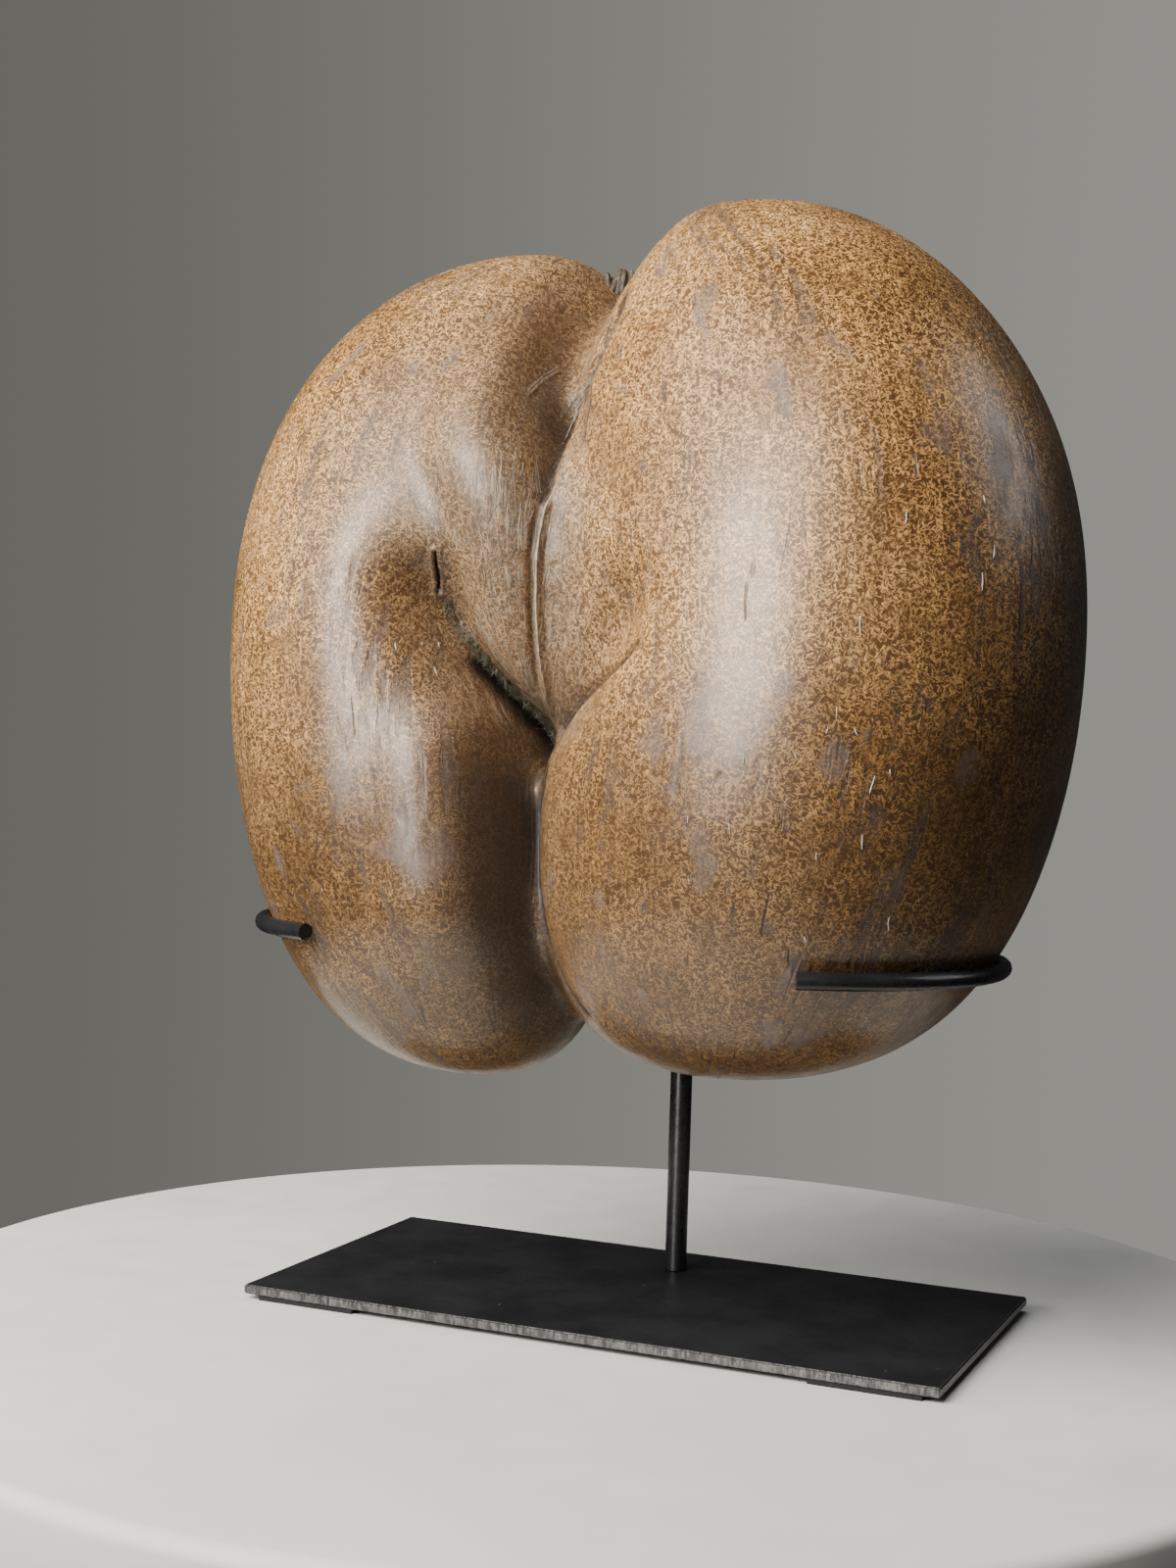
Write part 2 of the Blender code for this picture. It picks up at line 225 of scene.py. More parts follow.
def vectors(tree, operation, first, second=None, scale=None):
    node = tree.nodes.new("ShaderNodeVectorMath")
    node.operation = operation
    feed(tree, first, node.inputs[0])
    if second is not None:
        feed(tree, second, node.inputs[1])
    if scale is not None:
        node.inputs["Scale"].default_value = scale
    return node.outputs["Value" if operation in ("DOT_PRODUCT", "LENGTH") else "Vector"]


def fibreEnds(tree, where, scale, shift, width, reach):
    # one short bent stroke in every cell, each at a slant and a tone of its own
    moved = stretched(tree, where, (1, 1, 1), shift)
    wave = tree.nodes.new("ShaderNodeTexNoise")
    tree.links.new(moved, wave.inputs["Vector"])
    wave.inputs["Scale"].default_value = scale * 0.9
    wave.inputs["Detail"].default_value = 1.0
    bend = vectors(tree, "SUBTRACT", wave.outputs["Color"], (0.5, 0.5, 0.5))
    bent = vectors(tree, "ADD", moved, vectors(tree, "SCALE", bend, scale=1.4 / scale))
    cells = tree.nodes.new("ShaderNodeTexVoronoi")
    cells.inputs["Scale"].default_value = scale
    tree.links.new(bent, cells.inputs["Vector"])
    offset = vectors(tree, "SUBTRACT", bent, cells.outputs["Position"])
    slant = vectors(tree, "NORMALIZE", vectors(tree, "SUBTRACT", cells.outputs["Color"], (0.5, 0.5, 0.5)))
    across = sums(tree, "ABSOLUTE", vectors(tree, "DOT_PRODUCT", offset, slant))
    stroke = between(tree, across, width * 0.4, width, 1.0, 0.0)
    end = between(tree, vectors(tree, "LENGTH", offset), reach * 0.65, reach, 1.0, 0.0)
    tone = tree.nodes.new("ShaderNodeSeparateColor")
    tree.links.new(cells.outputs["Color"], tone.inputs["Color"])
    strength = between(tree, tone.outputs["Green"], 0.0, 0.7, 0.50, 1.0)
    return sums(tree, "MULTIPLY", sums(tree, "MULTIPLY", stroke, end), strength)


def hairlines(tree, vector, scale, width, detail=1.0, distortion=0.0):
    # thin wandering lines where a noise passes through its middle value
    level = noiseOf(tree, vector, scale, detail, 0.5, distortion)
    offset = sums(tree, "ABSOLUTE", sums(tree, "SUBTRACT", level, 0.5))
    return between(tree, offset, 0.0, width, 1.0, 0.0)


cameraView = {"place": (28.34, -71.67, 20.25), "turn": 23.339, "tilt": 1.328, "roll": 1.740, "lens": 50}


def makeCamera():
    data = bpy.data.cameras.new("camera")
    data.lens = cameraView["lens"]
    camera = bpy.data.objects.new("camera", data)
    bpy.context.scene.collection.objects.link(camera)
    turn, tilt, roll = (math.radians(cameraView[key]) for key in ("turn", "tilt", "roll"))
    back = Vector((math.sin(turn) * math.cos(tilt), -math.cos(turn) * math.cos(tilt), math.sin(tilt)))
    level = Vector((math.cos(turn), math.sin(turn), 0))
    up = level.cross(-back)
    right = level * math.cos(roll) + up * math.sin(roll)
    upright = up * math.cos(roll) - level * math.sin(roll)
    turned = Matrix((right, upright, back)).transposed().to_4x4()
    camera.matrix_world = Matrix.Translation(place(*cameraView["place"])) @ turned
    data.clip_start = 0.02
    bpy.context.scene.camera = camera


studio = {
    # turn and rise in degrees as seen from the seed, distance, size, power, colour, what it lights
    "panels": (("softLeft", -40, 26, 1.5, (1.1, 1.1), 48.0, (1.0, 0.97, 0.92), "matte"),
               ("softCeiling", -18, 47, 1.5, (1.1, 0.9), 38.0, (1.0, 0.98, 0.95), "matte"),
               ("windowGlow", -12, 5, 1.5, (0.45, 0.90), 34.0, (1.0, 0.98, 0.95), "gloss"),
               ("windowUpper", 3, 26, 1.5, (0.60, 0.60), 8.0, (1.0, 0.98, 0.95), "gloss"),
               ("roomGlow", -40, 25, 1.5, (1.4, 1.4), 4.0, (1.0, 0.98, 0.95), "gloss"),
               ("backLight", -150, 50, 1.8, (1.4, 1.2), 14.0, (0.93, 0.96, 1.0), "matte"),
               ("backGlow", 110, 30, 1.8, (0.9, 0.9), 7.0, (0.95, 0.97, 1.0), "gloss")),
    "wallDark": (0.142, 0.138, 0.122), "wallPale": (0.310, 0.302, 0.276), "ambient": (0.030, 0.031, 0.032),
    "aim": (0, -4, 21),
}


def addPanel(name, turn, rise, away, size, power, colour, share="both"):
    data = bpy.data.lights.new(name, "AREA")
    data.shape = "RECTANGLE"
    data.size, data.size_y = size
    data.energy = power
    data.color = colour
    panel = bpy.data.objects.new(name, data)
    bpy.context.scene.collection.objects.link(panel)
    # the broad soft panels leave no veil on the polish, the window panels only gleam
    panel.visible_glossy = share != "matte"
    panel.visible_diffuse = share != "gloss"
    turn, rise = math.radians(turn), math.radians(rise)
    aim = place(*studio["aim"])
    out = Vector((math.sin(turn) * math.cos(rise), -math.cos(turn) * math.cos(rise), math.sin(rise)))
    panel.location = aim + out * away
    panel.rotation_euler = (-out).to_track_quat("-Z", "Y").to_euler()


def makeStudio():
    for panel in studio["panels"]:
        addPanel(*panel)
    world = bpy.data.worlds.new("studio")
    bpy.context.scene.world = world
    world.use_nodes = True
    tree = world.node_tree
    light = tree.nodes["Background"]
    light.inputs["Color"].default_value = (*studio["ambient"], 1)
    # painted light: the wall behind is paler towards the right, as a wall beside a window is lit
    sides = tree.nodes.new("ShaderNodeVectorMath")
    sides.operation = "DOT_PRODUCT"
    tree.links.new(tree.nodes.new("ShaderNodeTexCoord").outputs["Generated"], sides.inputs[0])
    turn = math.radians(cameraView["turn"])
    sides.inputs[1].default_value = (math.cos(turn), math.sin(turn), 0)
    wall = tree.nodes.new("ShaderNodeBackground")
    tone = between(tree, sides.outputs["Value"], -0.30, 0.30)
    feed(tree, blended(tree, tone, studio["wallDark"], studio["wallPale"]), wall.inputs["Color"])
    rays = tree.nodes.new("ShaderNodeLightPath")
    mix = tree.nodes.new("ShaderNodeMixShader")
    tree.links.new(rays.outputs["Is Camera Ray"], mix.inputs[0])
    tree.links.new(light.outputs[0], mix.inputs[1])
    tree.links.new(wall.outputs[0], mix.inputs[2])
    tree.links.new(mix.outputs[0], tree.nodes["World Output"].inputs["Surface"])


tableTop = {
    "radius": 0.254, "thickness": 0.026, "middle": (-1.4, -1.0), "edge": 0.005,
    "pale": (0.62, 0.61, 0.56), "paler": (0.66, 0.655, 0.61),
}


def makeTable():
    middle = place(*tableTop["middle"], 0)
    deselectAll()
    bpy.ops.mesh.primitive_cylinder_add(
        vertices=192, radius=tableTop["radius"], depth=tableTop["thickness"],
        location=(middle.x, middle.y, -tableTop["thickness"] / 2))
    table = bpy.context.object
    table.name = "tableTop"
    edge = table.modifiers.new("edge", "BEVEL")
    edge.width = tableTop["edge"]
    edge.segments = 5
    applyModifiers(table)
    freeze(table)
    bpy.ops.object.shade_smooth_by_angle(angle=math.radians(40))
    material, tree, shader = newMaterial("paleLacquer")
    where = objectPlace(tree)
    haze = noiseOf(tree, where, 9, 4)
    feed(tree, blended(tree, between(tree, haze, 0.35, 0.7), tableTop["pale"], tableTop["paler"]),
         shader.inputs["Base Color"])
    feed(tree, between(tree, noiseOf(tree, where, 60, 3), 0.3, 0.7, 0.45, 0.6), shader.inputs["Roughness"])
    table.data.materials.append(material)


shellForm = {
    "voxel": 0.0024, "softening": 10,
    "axisHeights": (8.4, 11.3, 15.7, 22.4, 29.1, 34.0, 36.3),
    "leftAxis": (-4.3, -5.1, -6.15, -6.6, -5.85, -4.05, -2.1),
    "rightAxis": (4.1, 5.1, 6.05, 7.15, 6.65, 5.6, 3.8),
    "axisDepth": -4.0,
    "line": ((0.38, 27.56), (0.26, 27.10), (0.13, 26.35), (0.01, 25.60), (-0.06, 24.71), (-0.15, 23.82),
             (-0.20, 22.76), (-0.23, 21.70), (-0.35, 20.70)),
    "furrow": ((0.14, 27.10), (0.01, 26.49), (-0.11, 25.74), (-0.23, 24.70), (-0.34, 23.51), (-0.45, 22.30),
               (-0.52, 21.55)),
    "slit": ((-3.28, 25.78), (-3.36, 25.44), (-3.43, 25.00), (-3.54, 24.56)),
    "rim": ((-3.54, 24.56), (-3.37, 23.96), (-3.03, 23.35), (-2.68, 22.84), (-2.29, 22.30), (-1.88, 21.64),
            (-1.47, 21.06), (-1.15, 20.57), (-0.73, 20.11)),
    # how near each path the skin is cut finer, once and then once more
    "wideCuts": {"line": 0.006, "furrow": 0.005, "slit": 0.004, "rim": 0.005, "topCleft": 0.006,
                 "lowCleft": 0.006, "thighEdge": 0.005, "hollow": 0.006},
    "closeCuts": {"line": 0.0022, "furrow": 0.002, "slit": 0.002, "topCleft": 0.0024,
                  "lowCleft": 0.0024, "thighEdge": 0.0022, "hollow": 0.003},
    # where the cleft between the lobes runs on the front
    "cleftHeights": (8.4, 11.5, 14.5, 17.7, 19.5, 28.5, 30.4, 32.5, 34.4),
    "cleftSides": (1.6, 0.7, -0.3, -0.5, 0.0, 0.2, 0.4, 1.4, 1.8),
    "moundTip": (-0.8, 19.0),
}

# creases pressed along the lobes' edges: way down the skin, depth, reach to its left and right, darkness of
# the painted shade along it
creases = {
    "topCleft": (((1.76, 34.38), (1.73, 33.46), (1.41, 32.45), (0.93, 31.40), (0.38, 30.38), (0.19, 29.37),
                  (0.26, 28.41), (0.23, 27.71), (0.17, 27.16)),
                 0.0034, 0.0050, 0.0016, 0.80),
    "lowCleft": (((0.00, 19.49), (-0.15, 18.63), (-0.51, 17.66), (-0.59, 16.72), (-0.51, 15.47),
                  (-0.31, 14.55), (-0.19, 13.53), (0.15, 12.49), (0.69, 11.57), (1.28, 11.15)),
                 0.0028, 0.0036, 0.0018, 0.95),
    "thighEdge": (((4.02, 23.11), (3.18, 22.42), (1.95, 21.79), (0.98, 21.18), (0.18, 20.33), (0.08, 19.55)),
                  0.0024, 0.0036, 0.0010, 0.75),
    "hollow": (((-2.83, 22.65), (-2.43, 21.98), (-2.07, 21.44), (-1.71, 20.92), (-1.30, 20.31),
                (-0.87, 19.68), (-0.45, 19.1), (-0.40, 18.4)),
               0.0065, 0.0036, 0.0024, 1.0),
}


def frontOf(tree, x, z):
    # the foremost skin at this side and height, with its normal
    hit, normal, _, _ = tree.ray_cast(place(x, -30, z), Vector((0, 1, 0)))
    return hit, normal


def skinPath(tree, sidesAndHeights, steps=40):
    # an even, smooth path on the front of the skin
    rough = [frontOf(tree, *pair)[0] for pair in sidesAndHeights]
    path = []
    for step in range(steps + 1):
        share = step / steps * (len(rough) - 1)
        index = min(int(share), len(rough) - 2)
        point = rough[index].lerp(rough[index + 1], share - index)
        hit, _ = frontOf(tree, (point.x - plateMiddle.x) * 100, point.z * 100)
        path.append(hit)
    return path


def refineNear(shell, chosen):
    # cuts the chosen faces in four
    makeActive(shell)
    shell.data.polygons.foreach_set("select", chosen)
    bpy.ops.object.mode_set(mode="EDIT")
    bpy.ops.mesh.select_mode(type="FACE")
    bpy.ops.mesh.subdivide(number_cuts=1, smoothness=0)
    bpy.ops.object.mode_set(mode="OBJECT")


def faceMiddles(mesh):
    middles = np.empty(len(mesh.polygons) * 3)
    mesh.polygons.foreach_get("center", middles)
    return middles.reshape(-1, 3)


def treeOf(piece):
    return BVHTree.FromObject(piece, bpy.context.evaluated_depsgraph_get())


def makeShell():
    shell = copyNode("seed", "seedShell")
    rounder = shell.modifiers.new("rounder", "SUBSURF")
    rounder.levels = rounder.render_levels = 2
    skin = shell.modifiers.new("skin", "REMESH")
    skin.mode = "VOXEL"
    skin.voxel_size = shellForm["voxel"]
    soften = shell.modifiers.new("soften", "SMOOTH")
    soften.factor = 0.5
    soften.iterations = shellForm["softening"]
    applyModifiers(shell)
    print("shell skin", len(shell.data.polygons), "faces")

    tree = treeOf(shell)
    paths = {name: skinPath(tree, shellForm[name]) for name in ("line", "furrow", "slit", "rim")}
    paths.update({name: skinPath(tree, crease[0]) for name, crease in creases.items()})
    middles = faceMiddles(shell.data)
    near = np.zeros(len(middles), bool)
    for name, reach in shellForm["wideCuts"].items():
        near |= pathGap(middles, paths[name])[0] < reach
    refineNear(shell, near)
    middles = faceMiddles(shell.data)
    near = np.zeros(len(middles), bool)
    for name, reach in shellForm["closeCuts"].items():
        near |= pathGap(middles, paths[name])[0] < reach
    refineNear(shell, near)

    points = pointArray(shell.data)
    normals = normalArray(shell.data)
    rise = np.zeros(len(points))
    gap, along, _ = pathGap(points, paths["furrow"])
    rise -= 0.0013 * np.exp(-(gap / 0.0012) ** 2) * np.sin(np.pi * np.clip(along * 0.9 + 0.05, 0, 1)) ** 0.5
    gap, along, _ = pathGap(points, paths["line"])
    ends = np.clip(np.minimum(along * 12, (1 - along) * 12), 0, 1)
    rise += 0.0006 * np.exp(-(gap / 0.0008) ** 2) * ends
    rise -= 0.0005 * np.exp(-((gap - 0.0022) / 0.0008) ** 2) * ends
    gap, along, _ = pathGap(points, paths["slit"])
    slitShare = np.exp(-(gap / 0.00035) ** 2)
    rise -= 0.0020 * slitShare * np.clip(np.minimum(along * 6, (1 - along) * 6) + 0.15, 0, 1)
    rise += 0.0005 * np.exp(-((gap - 0.0013) / 0.0008) ** 2)
    inward = np.zeros(len(points))
    shade = np.zeros(len(points))
    for name, (_, depth, leftReach, rightReach, darkness) in creases.items():
        gap, along, side = pathGap(points, paths[name])
        reach = np.where(side > 0, rightReach, leftReach)
        press = np.exp(-(gap / reach) ** 2) * np.clip(np.minimum(along * 6, (1 - along) * 6), 0, 1)
        inward = np.maximum(inward, depth * press)
        # painted shade along each crease, darkest at its path
        shade = np.maximum(shade, darkness * np.exp(-(gap / (reach * 0.95)) ** 2) * np.clip(press * 4, 0, 1))
    points[:, 1] += inward
    # painted shadow: the left lobe's inner flank darkens towards the cleft, above the mound and below it
    cleftHeights = np.array(shellForm["cleftHeights"]) / 100
    cleftSides = np.array(shellForm["cleftSides"]) / 100
    fromCleft = points[:, 0] - plateMiddle.x - np.interp(points[:, 2], cleftHeights, cleftSides)
    away = np.clip((points[:, 2] - 0.268) / 0.030, 0, 1) + np.clip((0.212 - points[:, 2]) / 0.020, 0, 1)
    flank = np.clip(normals[:, 0] * 1.5 - 0.25, 0, 1) * np.exp(-(np.minimum(fromCleft, 0) / 0.034) ** 2)
    cleftShadow = flank * away * (fromCleft < 0.006) * np.clip((0.352 - points[:, 2]) / 0.02, 0, 1)
    points += normals * rise[:, None]
    writePoints(shell.data, points)
    print("shell detail", len(shell.data.polygons), "faces")

    # paint guides
    side = points[:, 0] - plateMiddle.x
    depth = points[:, 1] - plateMiddle.y
    height = points[:, 2]
    axisHeights = np.array(shellForm["axisHeights"]) / 100
    left = np.interp(height, axisHeights, np.array(shellForm["leftAxis"]) / 100)
    right = np.interp(height, axisHeights, np.array(shellForm["rightAxis"]) / 100)
    onLeft = side < -0.008
    axis = np.where(onLeft, left, right)
    turn = np.arctan2(depth - shellForm["axisDepth"] / 100, side - axis)
    low, high = np.where(onLeft, 0.0842, 0.0908), np.where(onLeft, 0.3635, 0.3765)
    rate = np.clip((height - (low + high) / 2) / ((high - low) / 2), -1, 1)
    flow = np.stack([0.07 * np.cos(turn), 0.07 * np.sin(turn), 0.12 * np.arcsin(rate) + onLeft * 2.0], axis=1)
    writeAttribute(shell.data, "flow", flow)

    tipSide, tipHeight = np.array(shellForm["moundTip"]) / 100
    spread = np.arctan2(side - tipSide, height - tipHeight)
    fan = np.stack([spread * 0.06, np.hypot(side - tipSide, height - tipHeight), depth * 0.3], axis=1)
    writeAttribute(shell.data, "fan", fan)

    front = np.clip((-0.055 - depth) / 0.02, 0, 1)
    mound = np.exp(-((side + 0.006) / 0.022) ** 2) * np.clip((height - 0.196) / 0.01, 0, 1)
    mound *= np.clip((0.300 - height) / 0.03, 0, 1) * front
    writeAttribute(shell.data, "mound", mound)
    cleft = np.exp(-((side + 0.008) / 0.020) ** 2) * (0.5 + 0.5 * np.clip((height - 0.15) / 0.08, 0, 1))
    inner = np.exp(-((side + 0.030) / 0.030) ** 2 - ((height - 0.265) / 0.065) ** 2)
    grey = np.clip(0.8 * cleft + 0.75 * inner * front + 0.9 * mound, 0, 1)
    writeAttribute(shell.data, "grey", grey)

    # painted shade for the hollows: how far the skin lies below its own long-wave form
    smoothCopy = shell.copy()
    smoothCopy.data = shell.data.copy()
    bpy.context.scene.collection.objects.link(smoothCopy)
    long = smoothCopy.modifiers.new("long", "SMOOTH")
    long.factor = 0.5
    long.iterations = 60
    applyModifiers(smoothCopy)
    hollow = ((pointArray(smoothCopy.data) - points) * normals).sum(axis=1)
    bpy.data.objects.remove(smoothCopy, do_unlink=True)
    writeAttribute(shell.data, "hollowShade", np.clip(hollow / 0.0016, 0, 1))
    writeAttribute(shell.data, "slit", slitShare)
    writeAttribute(shell.data, "shade", shade)
    writeAttribute(shell.data, "cleftShadow", cleftShadow)
    # how low the skin lies: painted shade darkens the base there, and the pale flecks thin out there as on
    # the skin
    writeAttribute(shell.data, "low", np.clip((0.238 - height) / 0.075, 0, 1))

    makeActive(shell)
    bpy.ops.object.shade_smooth()
    shell.data.materials.append(makeShellMaterial())
    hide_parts("seed")
    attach(shell, "root")
    return shell, paths


shellPaint = {
    "deepBrown": (0.078, 0.036, 0.012), "midBrown": (0.135, 0.065, 0.022), "warmBrown": (0.190, 0.094, 0.031),
    "fleckPale": (0.84, 0.49, 0.20), "fleckWarm": (0.70, 0.375, 0.125), "streakDark": (0.070, 0.050, 0.040),
    "greyBrown": (0.150, 0.090, 0.050), "fibrePale": (0.50, 0.39, 0.27), "hollowShade": (0.010, 0.008, 0.006),
    "bottomShade": (0.075, 0.040, 0.018), "violet": (0.160, 0.118, 0.100),
    "cleftShadow": (0.024, 0.014, 0.008), "slitShade": (0.003, 0.002, 0.002),
}


def makeShellMaterial():
    material, tree, shader = newMaterial("polishedShell")
    where = objectPlace(tree)
    flow = attributeOf(tree, "flow", "Vector")
    fan = attributeOf(tree, "fan", "Vector")
    grey = attributeOf(tree, "grey")
    mound = attributeOf(tree, "mound")
    hollowShade = attributeOf(tree, "hollowShade")
    slit = attributeOf(tree, "slit")
    paint = shellPaint

    broad = noiseOf(tree, where, 14, 4, 0.55)
    base = blended(tree, between(tree, broad, 0.32, 0.56), paint["deepBrown"], paint["midBrown"])
    base = blended(tree, between(tree, broad, 0.50, 0.72), base, paint["warmBrown"])

    low = attributeOf(tree, "low")
    # painted shade: the base darkens towards the bottom, where less light falls
    base = blended(tree, sums(tree, "MULTIPLY", low, 0.85), base, paint["bottomShade"])

    # curled pale fibre ends, two millimetres or so each
    ends = fibreEnds(tree, where, 600, (0.0, 0.0, 0.0), 0.00025, 0.00120)
    endsToo = fibreEnds(tree, where, 680, (0.31, 0.17, 0.04), 0.00023, 0.00110)
    curls = sums(tree, "MULTIPLY", hairlines(tree, where, 620, 0.055, 1.0, 0.9),
                 between(tree, noiseOf(tree, where, 480, 1.0), 0.40, 0.55, 0.0, 0.8))
    flecks = sums(tree, "MAXIMUM", sums(tree, "MAXIMUM", ends, endsToo), curls)
    patches = between(tree, noiseOf(tree, where, 38, 4, 0.6), 0.30, 0.60, 0.55, 1.0)
    patches = sums(tree, "MULTIPLY", patches, between(tree, low, 0.0, 1.0, 1.0, 0.45))
    flecks = sums(tree, "MULTIPLY", flecks, patches)
    fleckTone = blended(tree, between(tree, broad, 0.40, 0.62), paint["fleckWarm"], paint["fleckPale"])
    skin = blended(tree, flecks, base, fleckTone)

    # dark grain along the lobes, in ragged groups
    along = stretched(tree, flow, (1, 1, 0.20))
    grain = noiseOf(tree, along, 260, 4, 0.6, 0.3)
    groups = noiseOf(tree, stretched(tree, flow, (1, 1, 0.45), (0.3, 0.7, 0.1)), 42, 4, 0.6)
    streaks = sums(tree, "MULTIPLY", between(tree, grain, 0.46, 0.60), between(tree, groups, 0.52, 0.60))
    skin = blended(tree, sums(tree, "MULTIPLY", streaks, 0.62), skin, paint["streakDark"])
    bruise = noiseOf(tree, stretched(tree, flow, (1, 1, 0.6), (0.2, 0.1, 0.8)), 75, 3)
    bruise = between(tree, bruise, 0.60, 0.68)
    skin = blended(tree, sums(tree, "MULTIPLY", bruise, 0.55), skin, paint["violet"])
    fine = between(tree, noiseOf(tree, stretched(tree, flow, (1, 1, 0.07)), 900, 3), 0.35, 0.7, 0.82, 1.12)
    skin = blended(tree, 1.0, skin, fine, "MULTIPLY")

    # greyer and duller towards the cleft
    ashen = blended(tree, sums(tree, "MULTIPLY", flecks, 0.6), paint["greyBrown"], paint["fibrePale"])
    skin = blended(tree, sums(tree, "MULTIPLY", grey, 0.55), skin, ashen)

    # long pale fibres on the mound, running to its tip
    threads = noiseOf(tree, stretched(tree, fan, (1, 0.07, 1)), 1100, 3, 0.6, 0.15)
    threads = sums(tree, "MULTIPLY", between(tree, threads, 0.50, 0.66), mound)
    skin = blended(tree, sums(tree, "MULTIPLY", threads, 0.7), skin, paint["fibrePale"])

    cracks = hairlines(tree, stretched(tree, flow, (1, 1, 0.13), (0.9, 0.2, 0.5)), 60, 0.012, 2.0, 0.3)
    cracks = sums(tree, "MULTIPLY", cracks, between(tree, noiseOf(tree, flow, 55, 2), 0.60, 0.66))
    skin = blended(tree, sums(tree, "MULTIPLY", cracks, 0.8), skin, paint["streakDark"])
    # painted shade darkens the hollows
    skin = blended(tree, sums(tree, "MULTIPLY", hollowShade, 0.30), skin, paint["hollowShade"])
    cleftShadow = attributeOf(tree, "cleftShadow")
    shade = attributeOf(tree, "shade")
    # painted shadow on the left lobe's inner flank by the cleft
    skin = blended(tree, sums(tree, "MULTIPLY", cleftShadow, 0.80), skin, paint["cleftShadow"])
    # painted shade along the pressed creases
    skin = blended(tree, shade, skin, paint["hollowShade"])
    # painted shade: the slit's narrow depth is painted near black
    skin = blended(tree, between(tree, slit, 0.15, 0.6), skin, paint["slitShade"])
    feed(tree, skin, shader.inputs["Base Color"])

    gloss = between(tree, noiseOf(tree, where, 120, 4, 0.6), 0.3, 0.7, 0.28, 0.37)
    gloss = sums(tree, "ADD", gloss, sums(tree, "MULTIPLY", grey, 0.08))
    gloss = sums(tree, "ADD", gloss, sums(tree, "MULTIPLY", streaks, 0.10))
    gloss = sums(tree, "ADD", gloss, sums(tree, "MULTIPLY", sums(tree, "MAXIMUM", cleftShadow, shade), 0.25))
    feed(tree, gloss, shader.inputs["Roughness"])
    shader.inputs["IOR"].default_value = 1.52
    shader.inputs["Coat Weight"].default_value = 0.12
    shader.inputs["Coat Roughness"].default_value = 0.24

    raised = bumpOf(tree, flecks, 0.00008, 0.22)
    raised = bumpOf(tree, threads, 0.00025, 0.7, raised)
    pores = noiseOf(tree, where, 1400, 2)
    raised = bumpOf(tree, pores, 0.00005, 0.25, raised)
    sunk = sums(tree, "ADD", sums(tree, "MULTIPLY", streaks, -0.6), sums(tree, "MULTIPLY", cracks, -1.0))
    raised = bumpOf(tree, sunk, 0.00025, 0.8, raised)
    dents = noiseOf(tree, where, 85, 3)
    raised = bumpOf(tree, dents, 0.0010, 0.16, raised)
    feed(tree, raised, shader.inputs["Normal"])
    return material


def newStrands(name, strands, radius, material):
    # every strand is a list of points; all become one mesh of thin tapered tubes
    deselectAll()
    curve = bpy.data.curves.new(name, "CURVE")
    curve.dimensions = "3D"
    curve.bevel_depth = radius
    curve.bevel_resolution = 0
    curve.use_fill_caps = True
    for points, widths in strands:
        spline = curve.splines.new("POLY")
        spline.points.add(len(points) - 1)
        for knot, point, width in zip(spline.points, points, widths):
            knot.co = (*point, 1)
            knot.radius = width
    piece = bpy.data.objects.new(name, curve)
    bpy.context.scene.collection.objects.link(piece)
    makeActive(piece)
    bpy.ops.object.convert(target="MESH")
    piece = bpy.context.object
    bpy.ops.object.shade_smooth()
    piece.data.materials.append(material)
    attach(piece, "root")
    print(name, len(piece.data.polygons), "faces")
    return piece


def tapered(count, tip=0.35):
    return [1 - (1 - tip) * abs(2 * step / (count - 1) - 1) ** 2 for step in range(count)]


fibreLook = {
    "mound": (0.34, 0.29, 0.22), "moundDark": (0.17, 0.14, 0.105),
    "seam": (0.50, 0.41, 0.29), "seamDark": (0.26, 0.19, 0.12),
    "olive": (0.27, 0.24, 0.15), "oliveDark": (0.085, 0.075, 0.045),
    "strand": (0.50, 0.43, 0.33), "strandDark": (0.15, 0.12, 0.09),
    "chip": (0.78, 0.71, 0.60), "chipDark": (0.46, 0.38, 0.28),
    "crack": (0.018, 0.012, 0.008), "crackDark": (0.008, 0.006, 0.005),
    "scar": (0.115, 0.088, 0.058), "scarDark": (0.045, 0.034, 0.024),
}


def makeFibreMaterial(name, colour, dark):
    material, tree, shader = newMaterial(name)
    where = objectPlace(tree)
    tone = noiseOf(tree, where, 420, 3, 0.6)
    feed(tree, blended(tree, between(tree, tone, 0.34, 0.66), dark, colour), shader.inputs["Base Color"])
    shader.inputs["Roughness"].default_value = 0.62
    feed(tree, bumpOf(tree, noiseOf(tree, where, 2600, 2), 0.00005, 0.5), shader.inputs["Normal"])
    return material


def makeSeam(tree, paths, material):
    # the pale raised line down the middle of the mound
    points, widths = [], []
    line = paths["line"]
    for step, point in enumerate(line):
        hit, normal, _, _ = tree.find_nearest(point)
        share = step / (len(line) - 1)
        points.append(hit + normal * 0.00005)
        widths.append(0.45 + 0.75 * math.sin(math.pi * min(1, share * 1.15 + 0.05)) ** 0.7)
    newStrands("moundSeam", [(points, widths)], 0.00042, material)


def combOnSkin(tree, rng, start, heading, length, steps, lift, wander):
    # walks over the skin from a start point, bending a little at each step
    points = []
    point = Vector(start)
    direction = Vector(heading).normalized()
    for step in range(steps):
        hit, normal, _, _ = tree.find_nearest(point)
        points.append(hit + normal * (lift if 0 < step < steps - 1 else -0.0001))
        direction += Vector((rng.gauss(0, wander), rng.gauss(0, wander), rng.gauss(0, wander)))
        direction = (direction - normal * direction.dot(normal)).normalized()
        point = hit + direction * (length / (steps - 1))
    return points


